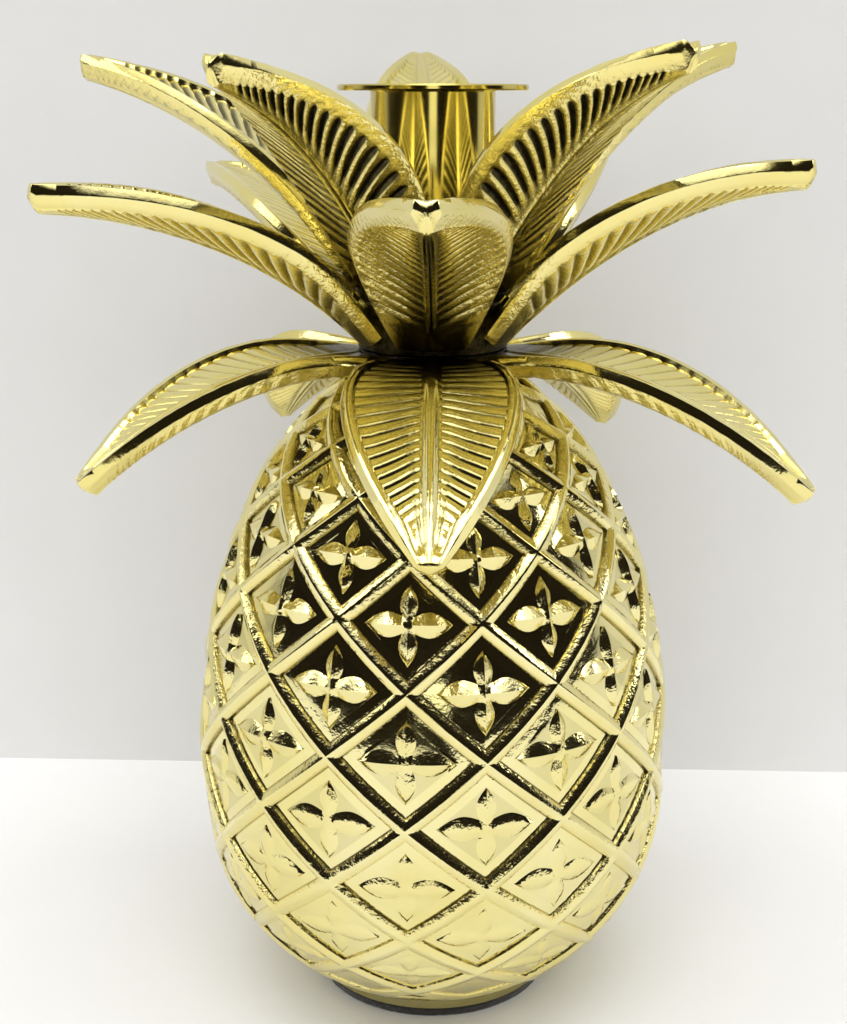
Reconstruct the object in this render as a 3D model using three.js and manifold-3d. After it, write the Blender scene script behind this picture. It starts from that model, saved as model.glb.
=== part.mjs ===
// Pineapple candle holder in cast brass: a lattice body, three rings of five
// leaves, a candle cup and a felt pad. Millimetres, +Z up, front towards -Y,
// origin at the centre of the underside.
import * as THREE from 'three';
import { mergeVertices } from 'three/addons/utils/BufferGeometryUtils.js';
import Module from 'manifold-3d';

// Gap between pieces that rest on each other
const SEAT_GAP = 0.3;

// Felt pad under the foot
const PAD_THICKNESS = 2;
const PAD_INSET = 0.6;

// Body, measured over the lattice bars
const BODY_RADIUS = 56;
const BELLY_HEIGHT = 60;
const FOOT_RADIUS = 28.5;
const FOOT_HEIGHT = 2.4;
const NECK_HEIGHT = 148;
const NECK_RADIUS = 20.5;
const UPPER_CURVE = 2.0;
const LOWER_CURVE = 2.6;

// Lattice of diamonds, each with a four-petal star
const CELLS_AROUND = 10;
const CELL_ROWS = 14;
const ROW_GROWTH = 0.31;
const LATTICE_TURN = -6.1;
const BAR_WIDTH = 3.4;
const BAR_HEIGHT = 1.6;
const STAR_REACH = 0.64;
const STAR_HEIGHT = 1.3;
const NOTCH_ASIDE = 0.12;
const NOTCH_ALONG = 0.17;
const FIRST_STAR_ROW = 3;
const LAST_STAR_ROW = 11;

// Leaves: shared outline and section
const LEAF_NECK_WIDTH = 18;
const LEAF_TIP_WIDTH = 4;
const LEAF_PEAK = 0.42;
const LEAF_POINT = 1.9;
const LEAF_FOLD = 3.5;
const FOLD_CURVE = 1.25;
const FOLD_START = 0.35;
const BORDER_WIDTH = 2.8;
const FIELD_DEPTH = 1.2;
const RIB_HEIGHT = 1.1;
const RIB_SWEEP = 11;
const SWEEP_CURVE = 1.4;
const RIBS = 7;
const EDGE_DRAFT = 1.2;

// Hubs that carry the leaves, stacked on the neck
const HUB_RADIUS = 17;
const HUB_SIDES = 24;

// Rings of leaves. The root stands at rootRadius, its lower edge rootRaise
// above the hub's underside, and the hub reaches hubCover above the leaves'
// thickness, which falls to edgeThickness at their edges. A ring's reach is
// from the axis, and its rise is the tips' height above the hub's underside.
// Slopes and azimuths are in degrees, with 0 at the front and 90 at the right.
// Each leaf was bent by hand a little differently, to its own share of both.
const LOWER_RING = {
  rootRadius: 13,
  rootRaise: 0.8,
  rootSlope: 4,
  tipSlope: -44,
  reach: 82,
  rise: -21,
  width: 36.5,
  thickness: 5.4,
  edgeThickness: 4.9,
  hubCover: 1,
  leaves: [
    { azimuth: -0.5, reachShare: 0.976, riseShare: 1.048 },
    { azimuth: 72, reachShare: 1.061, riseShare: 1.01 },
    { azimuth: 144, reachShare: 1, riseShare: 1.024 },
    { azimuth: 213, reachShare: 0.945, riseShare: 0.919 },
    { azimuth: 288, reachShare: 0.995, riseShare: 0.924 },
  ],
};
const MIDDLE_RING = {
  rootRadius: 13,
  rootRaise: 1.2,
  rootSlope: 45,
  tipSlope: 3,
  reach: 84,
  rise: 40,
  width: 33,
  thickness: 6,
  edgeThickness: 4.9,
  hubCover: 5,
  leaves: [
    { azimuth: -0.8, reachShare: 1, riseShare: 0.948 },
    { azimuth: 72, reachShare: 0.987, riseShare: 1.058 },
    { azimuth: 146.5, reachShare: 0.976, riseShare: 1.125 },
    { azimuth: 223, reachShare: 1, riseShare: 0.965 },
    { azimuth: 288, reachShare: 1.043, riseShare: 0.938 },
  ],
};
const UPPER_RING = {
  rootRadius: 13,
  rootRaise: 1.5,
  rootSlope: 53,
  tipSlope: 13,
  reach: 78,
  rise: 54,
  width: 31,
  thickness: 5.5,
  edgeThickness: 4.3,
  hubCover: 2,
  leaves: [
    { azimuth: 39, reachShare: 0.968, riseShare: 0.993 },
    { azimuth: 112, reachShare: 0.974, riseShare: 1.037 },
    { azimuth: 182.5, reachShare: 1.026, riseShare: 1.019 },
    { azimuth: 256, reachShare: 1.064, riseShare: 0.981 },
    { azimuth: 328.5, reachShare: 0.974, riseShare: 0.948 },
  ],
};
const HANDLE_SHARE = 0.35;

// Candle cup, on the upper hub
const CANDLE_BORE_RADIUS = 11.1;
const CUP_WALL = 2.6;
const CUP_HEIGHT = 38.4;
const CUP_DEPTH = 26;
const CUP_FLOOR = 4;
const STEM_RADIUS = 9;
const FLANGE_RADIUS = 21;
const FLANGE_THICKNESS = 1.3;
const CUP_SIDES = 28;

// Seats, from the bottom up
const BODY_BOTTOM = PAD_THICKNESS + SEAT_GAP;
const LATTICE_BOTTOM = BODY_BOTTOM + FOOT_HEIGHT;
const LOWER_HUB_BOTTOM = NECK_HEIGHT + SEAT_GAP;
const LOWER_HUB_TOP = LOWER_HUB_BOTTOM + LOWER_RING.thickness + LOWER_RING.hubCover;
const MIDDLE_HUB_BOTTOM = LOWER_HUB_TOP + SEAT_GAP;
const MIDDLE_HUB_TOP = MIDDLE_HUB_BOTTOM + MIDDLE_RING.thickness + MIDDLE_RING.hubCover;
const UPPER_HUB_BOTTOM = MIDDLE_HUB_TOP + SEAT_GAP;
const UPPER_HUB_TOP = UPPER_HUB_BOTTOM + UPPER_RING.thickness + UPPER_RING.hubCover;
const STEM_BOTTOM = UPPER_HUB_TOP + SEAT_GAP;
const CUP_RIM = STEM_BOTTOM + CUP_HEIGHT;

const wasm = await Module();
wasm.setup();

// Polished brass and black felt
const brass = (color) => new THREE.MeshStandardMaterial({ color, roughness: 0.16, metalness: 1 });
const felt = new THREE.MeshStandardMaterial({ color: 0x17140f, roughness: 0.95, metalness: 0 });

const radians = THREE.MathUtils.degToRad;
const lerp = THREE.MathUtils.lerp;

// A growing list of points and triangles that becomes one closed geometry
class Skin {
  constructor() {
    this.points = [];
    this.faces = [];
  }

  point(p) {
    this.points.push(p);
    return this.points.length - 1;
  }

  face(a, b, c) {
    this.faces.push(a, b, c);
  }

  quad(a, b, c, d) {
    this.face(a, b, c);
    this.face(a, c, d);
  }

  fan(centre, loop) {
    loop.forEach((p, i) => this.face(centre, p, loop[(i + 1) % loop.length]));
  }

  geometry() {
    const geometry = new THREE.BufferGeometry();
    const flat = this.points.flatMap((p) => [p.x, p.y, p.z]);
    geometry.setAttribute('position', new THREE.Float32BufferAttribute(flat, 3));
    geometry.setIndex(this.faces);
    return geometry;
  }
}

// A closed geometry as a solid that can be joined and cut, and back
function toSolid(geometry) {
  const bare = geometry.clone();
  bare.deleteAttribute('normal');
  bare.deleteAttribute('uv');
  const merged = mergeVertices(bare, 1e-4);
  return new wasm.Manifold(new wasm.Mesh({
    numProp: 3,
    vertProperties: new Float32Array(merged.attributes.position.array),
    triVerts: new Uint32Array(merged.index.array),
  }));
}

function toGeometry(solid) {
  const mesh = solid.getMesh();
  const geometry = new THREE.BufferGeometry();
  geometry.setAttribute('position', new THREE.BufferAttribute(mesh.vertProperties, 3));
  geometry.setIndex(new THREE.BufferAttribute(mesh.triVerts, 1));
  return geometry;
}

// A turned solid about +Z from [radius, height] points that start and end on the axis
function turned(profile, sides) {
  const outline = profile.map(([radius, height]) => new THREE.Vector2(radius, height));
  const geometry = new THREE.LatheGeometry(outline, sides);
  geometry.rotateX(Math.PI / 2);
  return geometry;
}

// Body outline: radius over the bars at a height
function bodyRadius(z) {
  const up = z > BELLY_HEIGHT;
  const end = up ? NECK_HEIGHT : LATTICE_BOTTOM;
  const endRadius = up ? NECK_RADIUS : FOOT_RADIUS;
  const share = Math.abs((z - BELLY_HEIGHT) / (end - BELLY_HEIGHT));
  const loss = 1 - (endRadius / BODY_RADIUS) ** 2;
  return BODY_RADIUS * Math.sqrt(1 - loss * share ** (up ? UPPER_CURVE : LOWER_CURVE));
}

// Heights of the lattice rows, from the neck (row 0) down. A cell keeps its
// proportions as the body narrows, and grows slowly taller towards the neck.
function rowHeights(steps = 600) {
  const span = NECK_HEIGHT - LATTICE_BOTTOM;
  const travelled = [0];
  for (let i = 0; i < steps; i++) {
    const high = NECK_HEIGHT - (span * i) / steps;
    const low = NECK_HEIGHT - (span * (i + 1)) / steps;
    const slope = Math.hypot(high - low, bodyRadius(high) - bodyRadius(low));
    const middle = (high + low) / 2;
    const growth = 1 + ROW_GROWTH * ((middle - LATTICE_BOTTOM) / span - 0.5);
    travelled.push(travelled[i] + slope / (bodyRadius(middle) * growth));
  }
  const total = travelled[steps];
  return (row) => {
    const target = (total * row) / CELL_ROWS;
    let i = 0;
    while (i < steps - 1 && travelled[i + 1] < target) i++;
    const share = (target - travelled[i]) / (travelled[i + 1] - travelled[i]);
    return NECK_HEIGHT - (span * (i + share)) / steps;
  };
}

const heightOfRow = rowHeights();

// A point of the lattice: column in half cells around, row from the neck,
// depth below the top of the bars along the surface's normal
function latticePoint(column, row, depth) {
  const z = heightOfRow(row);
  const delta = 0.05;
  const slope = (bodyRadius(Math.min(z + delta, NECK_HEIGHT)) - bodyRadius(Math.max(z - delta, LATTICE_BOTTOM)))
    / (Math.min(z + delta, NECK_HEIGHT) - Math.max(z - delta, LATTICE_BOTTOM));
  const flat = Math.hypot(1, slope);
  const atRim = row <= 0 || row >= CELL_ROWS;
  const radius = bodyRadius(z) - (atRim ? depth : depth / flat);
  const height = atRim ? z : z + (depth * slope) / flat;
  const angle = radians(LATTICE_TURN) + (column * Math.PI) / CELLS_AROUND;
  return new THREE.Vector3(radius * Math.sin(angle), -radius * Math.cos(angle), height);
}

// How far, as a share of a cell's half diagonal, half a bar reaches into it
function barShare(row) {
  const halfWide = (bodyRadius(heightOfRow(row)) * Math.PI) / CELLS_AROUND;
  const above = latticePoint(0, row - 1, 0);
  const below = latticePoint(0, row + 1, 0);
  const halfTall = above.distanceTo(below) / 2;
  const toEdge = (halfWide * halfTall) / Math.hypot(halfWide, halfTall);
  return Math.min(0.5 * BAR_WIDTH / toEdge, 0.5);
}

function bodyGeometry() {
  const skin = new Skin();
  const columns = 2 * CELLS_AROUND;
  const nodes = new Map();
  const node = (column, row) => {
    const c = (column + columns) % columns;
    const key = `${c} ${row}`;
    if (!nodes.has(key)) nodes.set(key, skin.point(latticePoint(c, row, 0)));
    return nodes.get(key);
  };

  // A whole cell: bars falling to a sunk field that carries the star
  const directions = [[1, 0], [0, 1], [-1, 0], [0, -1]];
  for (let row = 1; row < CELL_ROWS; row++) {
    const share = barShare(row);
    for (let column = 0; column < columns; column++) {
      if ((column + row) % 2 === 0) continue;
      const at = (x, y, depth) => skin.point(latticePoint(column + x, row + y, depth));
      const rim = directions.map(([x, y]) => node(column + x, row + y));
      const inner = directions.map(([x, y]) => at(x * (1 - share), y * (1 - share), BAR_HEIGHT));
      const starred = row >= FIRST_STAR_ROW && row <= LAST_STAR_ROW;
      const centre = at(0, 0, starred ? BAR_HEIGHT - STAR_HEIGHT : BAR_HEIGHT);
      const tips = [];
      const notches = [];
      if (starred) {
        directions.forEach(([x, y], i) => {
          const [nx, ny] = directions[(i + 1) % 4];
          tips.push(at(x * STAR_REACH, y * STAR_REACH, BAR_HEIGHT));
          notches.push(at((x + nx) * NOTCH_ASIDE, (y + ny) * NOTCH_ALONG, BAR_HEIGHT));
        });
      }
      for (let i = 0; i < 4; i++) {
        const n = (i + 1) % 4;
        skin.quad(rim[i], inner[i], inner[n], rim[n]);
        if (!starred) {
          skin.face(inner[i], centre, inner[n]);
          continue;
        }
        skin.face(inner[i], notches[i], inner[n]);
        skin.face(inner[i], tips[i], notches[i]);
        skin.face(inner[n], notches[i], tips[n]);
        skin.face(tips[i], centre, notches[i]);
        skin.face(notches[i], centre, tips[n]);
      }
    }
  }

  // Half cells along the neck and the foot
  const rims = [0, CELL_ROWS].map((row) => {
    const step = row === 0 ? 1 : -1;
    const loop = [];
    for (let column = 0; column < columns; column++) {
      if ((column + row) % 2 === 0) {
        loop.push(node(column, row));
        continue;
      }
      const rimPoint = skin.point(latticePoint(column, row, BAR_HEIGHT));
      const field = skin.point(latticePoint(column, row + step * 0.4, BAR_HEIGHT));
      const around = [node(column - 1, row), node(column, row + step), node(column + 1, row), rimPoint];
      if (step < 0) around.reverse();
      skin.fan(field, around);
      loop.push(rimPoint);
    }
    return loop;
  });

  // Flat top of the neck, then the plain foot
  const top = skin.point(new THREE.Vector3(0, 0, NECK_HEIGHT));
  skin.fan(top, rims[0]);
  const sole = rims[1].map((_, column) => {
    const angle = radians(LATTICE_TURN) + (column * Math.PI) / CELLS_AROUND;
    return skin.point(new THREE.Vector3(FOOT_RADIUS * Math.sin(angle), -FOOT_RADIUS * Math.cos(angle), BODY_BOTTOM));
  });
  for (let i = 0; i < sole.length; i++) {
    const n = (i + 1) % sole.length;
    skin.quad(sole[i], sole[n], rims[1][n], rims[1][i]);
  }
  const bottom = skin.point(new THREE.Vector3(0, 0, BODY_BOTTOM));
  skin.fan(bottom, [...sole].reverse());
  return skin.geometry();
}

// Half width of a leaf at a share of its length: it opens from the neck, is
// widest before the middle and is then drawn in to a small blunt tip
function leafHalfWidth(share, width) {
  const half = width / 2;
  const neck = LEAF_NECK_WIDTH / 2;
  const tip = LEAF_TIP_WIDTH / 2;
  const opened = Math.sin((Math.PI / 2) * Math.min(share / LEAF_PEAK, 1));
  const closed = Math.max((share - LEAF_PEAK) / (1 - LEAF_PEAK), 0) ** LEAF_POINT;
  return Math.min(neck + (half - neck) * opened, half - (half - tip) * closed);
}

// The curve along the middle of a leaf's top face, in the plane of its azimuth
function leafCurve(ring, leaf, hubBottom) {
  const rootDepth = ring.thickness * Math.cos(radians(ring.rootSlope));
  const root = new THREE.Vector3(ring.rootRadius, 0, hubBottom + ring.rootRaise + rootDepth);
  const tip = new THREE.Vector3(ring.reach * leaf.reachShare, 0, hubBottom + ring.rise * leaf.riseShare);
  const handle = HANDLE_SHARE * root.distanceTo(tip);
  const along = (slope) => new THREE.Vector3(Math.cos(radians(slope)), 0, Math.sin(radians(slope)));
  const first = root.clone().addScaledVector(along(ring.rootSlope), handle);
  const second = tip.clone().addScaledVector(along(ring.tipSlope), -handle);
  return new THREE.CubicBezierCurve3(root, first, second, tip);
}

// One leaf: a folded blade with a flat border, ribs that sweep towards the
// tip, a midrib and edges that slope in a little towards the underside
function leafSolid(ring, leaf, hubBottom) {
  const curve = leafCurve(ring, leaf, hubBottom);
  const length = curve.getLength();
  const skin = new Skin();

  // A point of the blade: share of the length, sideways offset, height above the top face
  const bladePoint = (share, sideways, height) => {
    const swept = Math.min(Math.max(share, 0), 1);
    const centre = curve.getPointAt(swept);
    const tangent = curve.getTangentAt(swept);
    const opened = Math.sin((Math.PI / 2) * Math.min(swept / FOLD_START, 1));
    const fold = LEAF_FOLD * opened * (Math.abs(sideways) / (ring.width / 2)) ** FOLD_CURVE;
    const lift = fold + height;
    const p = new THREE.Vector3(centre.x - tangent.z * lift, sideways, centre.z + tangent.x * lift);
    return p.applyAxisAngle(new THREE.Vector3(0, 0, 1), radians(leaf.azimuth - 90));
  };

  const stations = 2 * RIBS + 2;
  const rows = [];
  for (let i = 0; i <= stations; i++) {
    const share = i / stations;
    const sweepAt = (q) => {
      const room = Math.sin(Math.PI * share);
      return share + (RIB_SWEEP / length) * (1 - (1 - Math.abs(q)) ** SWEEP_CURVE) * room;
    };
    const outline = sweepAt(1);
    const half = leafHalfWidth(outline, ring.width);
    const border = Math.max(1 - BORDER_WIDTH / half, 0.15);
    const under = 1 - EDGE_DRAFT / half;
    const plain = i < 1 || i >= stations;
    const field = plain ? 0 : (i % 2 === 0 ? 0 : RIB_HEIGHT) - FIELD_DEPTH;
    const across = (q, height) => skin.point(bladePoint(sweepAt(q), -q * half, height));
    rows.push([
      across(-1, 0), across(-border, 0), across(-border / 2, field), across(0, 0),
      across(border / 2, field), across(border, 0), across(1, 0),
      across(under, -ring.edgeThickness), across(0, -ring.thickness), across(-under, -ring.edgeThickness),
    ]);
  }
  rows.slice(1).forEach((row, i) => {
    const last = rows[i];
    row.forEach((p, j) => {
      const n = (j + 1) % row.length;
      skin.quad(last[j], last[n], row[n], p);
    });
  });
  const capEnd = (row, turn) => {
    const quads = [[0, 1, 8, 9], [1, 2, 3, 8], [3, 4, 5, 8], [5, 6, 7, 8]];
    quads.forEach(([a, b, c, d]) => {
      const loop = [row[a], row[b], row[c], row[d]];
      if (turn) loop.reverse();
      skin.quad(...loop);
    });
  };
  capEnd(rows[0], true);
  capEnd(rows[rows.length - 1], false);
  return toSolid(skin.geometry());
}

// A ring of five leaves cast with its hub
function leafRing(ring, hubBottom, hubTop) {
  let solid = toSolid(turned([[0, hubBottom], [HUB_RADIUS, hubBottom], [HUB_RADIUS, hubTop], [0, hubTop]], HUB_SIDES));
  ring.leaves.forEach((leaf) => {
    solid = solid.add(leafSolid(ring, leaf, hubBottom));
  });
  return toGeometry(solid);
}

// The candle cup: a stem, a cup with an open bore and a thin flange
function cupGeometry() {
  const cupRadius = CANDLE_BORE_RADIUS + CUP_WALL;
  const boreBottom = CUP_RIM - CUP_DEPTH;
  const cupBottom = boreBottom - CUP_FLOOR;
  return turned([
    [0, STEM_BOTTOM],
    [STEM_RADIUS, STEM_BOTTOM],
    [STEM_RADIUS, cupBottom - (cupRadius - STEM_RADIUS) / 2],
    [cupRadius, cupBottom],
    [cupRadius, CUP_RIM - FLANGE_THICKNESS],
    [FLANGE_RADIUS, CUP_RIM - FLANGE_THICKNESS],
    [FLANGE_RADIUS, CUP_RIM],
    [CANDLE_BORE_RADIUS, CUP_RIM],
    [CANDLE_BORE_RADIUS, boreBottom],
    [0, boreBottom],
  ], CUP_SIDES);
}

function padGeometry() {
  const radius = FOOT_RADIUS - PAD_INSET;
  return turned([[0, 0], [radius, 0], [radius, PAD_THICKNESS], [0, PAD_THICKNESS]], CUP_SIDES);
}

function named(name, geometry, material) {
  const mesh = new THREE.Mesh(geometry, material);
  mesh.name = name;
  return mesh;
}

const pineapple = new THREE.Group();
pineapple.add(named('base_pad', padGeometry(), felt));
pineapple.add(named('body', bodyGeometry(), brass(0xd9c668)));
pineapple.add(named('lower_leaves', leafRing(LOWER_RING, LOWER_HUB_BOTTOM, LOWER_HUB_TOP), brass(0xd2bd5e)));
pineapple.add(named('middle_leaves', leafRing(MIDDLE_RING, MIDDLE_HUB_BOTTOM, MIDDLE_HUB_TOP), brass(0xcfb958)));
pineapple.add(named('upper_leaves', leafRing(UPPER_RING, UPPER_HUB_BOTTOM, UPPER_HUB_TOP), brass(0xd2bd5e)));
pineapple.add(named('candle_cup', cupGeometry(), brass(0xd6bd4a)));

export default pineapple;
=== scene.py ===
"""Pineapple candle holder in polished cast brass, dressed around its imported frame."""
import math

import bpy
import numpy as np
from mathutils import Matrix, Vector


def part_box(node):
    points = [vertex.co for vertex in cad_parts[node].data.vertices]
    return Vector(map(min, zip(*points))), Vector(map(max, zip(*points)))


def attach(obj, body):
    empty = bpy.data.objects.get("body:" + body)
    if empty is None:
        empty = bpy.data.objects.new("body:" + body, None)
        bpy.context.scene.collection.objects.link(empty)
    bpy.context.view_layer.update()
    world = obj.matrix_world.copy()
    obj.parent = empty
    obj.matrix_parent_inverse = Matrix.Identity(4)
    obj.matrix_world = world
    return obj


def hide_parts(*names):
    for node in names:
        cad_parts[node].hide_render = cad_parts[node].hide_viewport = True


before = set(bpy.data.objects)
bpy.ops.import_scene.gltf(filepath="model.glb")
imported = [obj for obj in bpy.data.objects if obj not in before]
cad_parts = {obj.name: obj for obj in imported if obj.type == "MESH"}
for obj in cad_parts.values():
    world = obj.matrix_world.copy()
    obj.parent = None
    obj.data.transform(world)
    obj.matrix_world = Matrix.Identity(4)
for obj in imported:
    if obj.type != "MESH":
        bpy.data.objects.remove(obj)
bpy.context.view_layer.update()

# Lengths of the pieces are millimetres, and meshes are scaled to metres at the end
MM = 0.001
SEAT_GAP = 0.3

# Seats read from the frame
BODY_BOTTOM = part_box("body")[0].z / MM
NECK_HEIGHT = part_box("body")[1].z / MM
PAD_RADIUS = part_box("base_pad")[1].x / MM
PAD_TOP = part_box("base_pad")[1].z / MM
LOWER_HUB = (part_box("body")[1].z / MM + SEAT_GAP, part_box("middle_leaves")[0].z / MM - SEAT_GAP)
MIDDLE_HUB = (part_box("middle_leaves")[0].z / MM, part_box("upper_leaves")[0].z / MM - SEAT_GAP)
UPPER_HUB = (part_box("upper_leaves")[0].z / MM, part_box("candle_cup")[0].z / MM - SEAT_GAP)
STEM_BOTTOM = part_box("candle_cup")[0].z / MM
CUP_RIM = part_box("candle_cup")[1].z / MM

# Body over the lattice bars
BODY_RADIUS = 56.0
BELLY_HEIGHT = 60.0
FOOT_RADIUS = 28.5
FOOT_HEIGHT = 2.4
NECK_RADIUS = 20.5
UPPER_CURVE = 2.0
LOWER_CURVE = 2.6
LATTICE_BOTTOM = BODY_BOTTOM + FOOT_HEIGHT

# Lattice of diamonds with stars
CELLS_AROUND = 10
CELL_ROWS = 14
ROW_GROWTH = 0.31
LATTICE_TURN = -6.1
BAR_WIDTH = 3.9
BAR_HEIGHT = 1.6
STAR_REACH = 0.615
STAR_HEIGHT = 1.5
FIRST_STAR_ROW = 2
LAST_STAR_ROW = 11
WIDE_PETAL = 0.195
NARROW_PETAL = 0.13

# Rows from the neck down the body, and what is left there of the darkening in the hollows (patina and
# painted shade), of the bars and of the stars
DARKENING_ROWS, ROW_DARKENING = (8, 9, 11), (1.0, 0.5, 0.15)
BAR_ROWS, BAR_SHARES = (8, 12), (1.0, 0.55)
STAR_ROWS, STAR_SHARES = (6, 8, 11), (1.0, 0.52, 0.38)
FIELD_DARKENING = 0.12
STAR_GRIT = 0.45
FIELD_GRIT = 0.08

# Unevenness of the surfaces, as height and length of its waves, and its share on the stars
BODY_WAVE = (0.03, 9.0)
BODY_PITS = (0.03, 2.6)
LEAF_WAVE = (0.035, 6.0)
LEAF_PITS = (0.02, 1.8)
FELT_FUZZ = (0.09, 1.1)
STAR_WAVE_SHARE = 0.4

# Leaves: shared outline and section
LEAF_NECK_WIDTH = 18.0
LEAF_TIP_WIDTH = 4.0
LEAF_PEAK = 0.42
LEAF_POINT = 1.9
LEAF_FOLD = 3.5
FOLD_CURVE = 1.25
FOLD_START = 0.35
BORDER_WIDTH = 2.8
FIELD_DEPTH = 1.2
TOP_SWEEP = 11.0
UNDER_SWEEP = 17.0
SWEEP_CURVE = 1.4
RIBS = 26
ROWS_PER_RIB = 7
EDGE_DRAFT = 1.2
HANDLE_SHARE = 0.35
HUB_RADIUS = 17.0

# Shares of a leaf's length: where its relief grows, where it ends, where the tip is round
ROOT_START = 0.03
ROOT_FADE = 0.1
RELIEF_END = 0.97
RELIEF_FADE = 0.06
TIP_START = 0.983

# What is left of the painted shade in the grooves and of the ribs' relief on a leaf that points to the back
BACK_GROOVE_SHADE = 0.1
BACK_RELIEF = 0.25

# Relief across a leaf. Midrib: side, depth and painted shade in its groove. Stations above and below: share
# of the way from the midrib to the border or edge, and share of the ribs' height there
MIDRIB = ((0.5, 0.12, 0.0), (0.95, 0.4, 0.0), (1.3, 0.7, 0.12), (1.7, 0.85, 0.1))
TOP_STATIONS = ((0, 0.55), (0.15, 0.9), (0.32, 1), (0.5, 1), (0.68, 1), (0.85, 0.95), (1, 0.8))
UNDER_STATIONS = (
    (0.97, 0.5), (0.9, 0.9), (0.78, 1), (0.65, 1), (0.52, 1), (0.39, 1), (0.27, 0.9), (0.17, 0.5),
)
FIELD_START = 2.2
UNDER_FIELD_START = 2.0
UNDER_RIB_DEPTH = 0.95
UNDER_VALLEY = 0.8
FULL_SECTION = 7.5
# Painted shade at a leaf's root by the hub, and the share of its length where it has faded out
ROOT_SHADE = 0.55
ROOT_SHADE_END = 0.34

# Rings of leaves. root to rise give the line of a leaf, edge and bulge its side, valley and
# relief the ribs, rib_end and rib_fade where they die out, and the two groove shares the painted
# shade in the grooves between them, on top and below. Each leaf has its azimuth and its shares of the
# ring's reach and rise
LOWER_RING = {
    "root": 13.0, "raise": 0.8, "root_slope": 4.0, "tip_slope": -44.0, "reach": 82.0, "rise": -21.0,
    "width": 36.5, "thickness": 5.4, "edge": 4.9, "bulge": 0.48,
    "valley": 0.4, "relief": 0.4, "rib_end": 0.88, "rib_fade": 0.26, "top_groove_shade": 0.32, "under_groove_shade": 0.4,
    "leaves": [
        (-0.5, 0.976, 1.048), (72, 1.061, 1.01), (144, 1, 1.024), (213, 0.945, 0.919), (288, 0.995, 0.924),
    ],
}
MIDDLE_RING = {
    "root": 13.0, "raise": 1.2, "root_slope": 45.0, "tip_slope": 3.0, "reach": 84.0, "rise": 40.0,
    "width": 33.0, "thickness": 6.0, "edge": 4.9, "bulge": 0.5,
    "valley": 0.7, "relief": 0.7, "rib_end": 0.9, "rib_fade": 0.06, "top_groove_shade": 0.8, "under_groove_shade": 0.16,
    "leaves": [
        (-0.8, 1, 0.948), (72, 0.987, 1.058), (146.5, 0.976, 1.125), (223, 1, 0.965), (288, 1.043, 0.938),
    ],
}
UPPER_RING = {
    "root": 13.0, "raise": 1.5, "root_slope": 53.0, "tip_slope": 13.0, "reach": 78.0, "rise": 54.0,
    "width": 31.0, "thickness": 5.5, "edge": 4.3, "bulge": 0.5,
    "valley": 1.15, "relief": 0.85, "rib_end": 0.9, "rib_fade": 0.06, "top_groove_shade": 1.0, "under_groove_shade": 1.0,
    "leaves": [
        (39, 0.968, 0.993), (112, 0.974, 1.037), (182.5, 1.026, 1.019), (256, 1.064, 0.981),
        (328.5, 0.974, 0.948),
    ],
}

# Candle cup
CANDLE_BORE_RADIUS = 11.1
CUP_WALL = 2.6
CUP_DEPTH = 26.0
CUP_FLOOR = 4.0
STEM_RADIUS = 9.0
FLANGE_RADIUS = 21.0
FLANGE_THICKNESS = 1.3

# Camera, from the lattice's fit to the photograph, for an 847 x 1024 image
IMAGE_HEIGHT = 1024
FOCAL_PIXELS = 1583.0
SENSOR = 36.0
CAMERA_DISTANCE = 358.4
CAMERA_HEIGHT = 210.5
CAMERA_PITCH = 14.8
AXIS_SHIFT_PIXELS = 9.5


def smooth_step(x):
    t = np.clip(x, 0.0, 1.0)
    return t * t * (3.0 - 2.0 * t)


def ripple(points, wave, seed, waves=9):
    """A smooth random field over points, the same each run. wave is its height and length."""
    height, wavelength = wave
    rng = np.random.default_rng(seed)
    total = np.zeros(len(points))
    for _ in range(waves):
        direction = rng.normal(size=3)
        direction /= np.linalg.norm(direction)
        length = wavelength * rng.uniform(0.7, 1.5)
        total += np.sin(points @ direction * (2 * math.pi / length) + rng.uniform(0, 2 * math.pi))
    return height * (total / math.sqrt(waves / 2))


class Skin:
    """Points, faces and two point values, one for the darkening, which is patina and painted shade, and
    cast for grit, that become one mesh.
    """

    def __init__(self):
        self.points, self.faces, self.values = [], [], {}
        self.count = 0

    def add(self, points, faces, **values):
        points = np.asarray(points, float).reshape(-1, 3)
        self.points.append(points)
        for name in ("cavity", "cast"):
            value = np.broadcast_to(np.asarray(values.get(name, 0.0), float), (len(points),))
            self.values.setdefault(name, []).append(value)
        self.faces += [tuple(int(i) + self.count for i in face) for face in faces]
        self.count += len(points)

    def build(self, name, material, sharp=32.0, weld=2e-3):
        """Welds equal points, drops collapsed faces and makes the object, in metres."""
        points = np.concatenate(self.points)
        keys = np.round(points / weld).astype(np.int64)
        _, first, inverse = np.unique(keys, axis=0, return_index=True, return_inverse=True)
        inverse = inverse.reshape(-1)
        faces = []
        for face in self.faces:
            loop = [int(inverse[i]) for i in face]
            loop = [p for i, p in enumerate(loop) if p != loop[i - 1]]
            if len(set(loop)) == len(loop) and len(loop) > 2:
                faces.append(loop)
        mesh = bpy.data.meshes.new(name)
        mesh.from_pydata((points[first] * MM).tolist(), [], faces)
        for key, parts in self.values.items():
            attribute = mesh.attributes.new(key, "FLOAT", "POINT")
            attribute.data.foreach_set("value", np.concatenate(parts)[first].astype(np.float32))
        mesh.shade_smooth()
        mesh.set_sharp_from_angle(angle=math.radians(sharp))
        mesh.validate()
        piece = bpy.data.objects.new(name, mesh)
        bpy.context.scene.collection.objects.link(piece)
        piece.data.materials.append(material)
        return piece


def grid_faces(rows, columns, closed=False, flip=False):
    """Quads of a grid of points, row by row. closed joins the last column to the first."""
    faces = []
    for i in range(rows - 1):
        for j in range(columns if closed else columns - 1):
            n = (j + 1) % columns
            face = (i * columns + j, i * columns + n, (i + 1) * columns + n, (i + 1) * columns + j)
            faces.append(face[::-1] if flip else face)
    return faces


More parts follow.
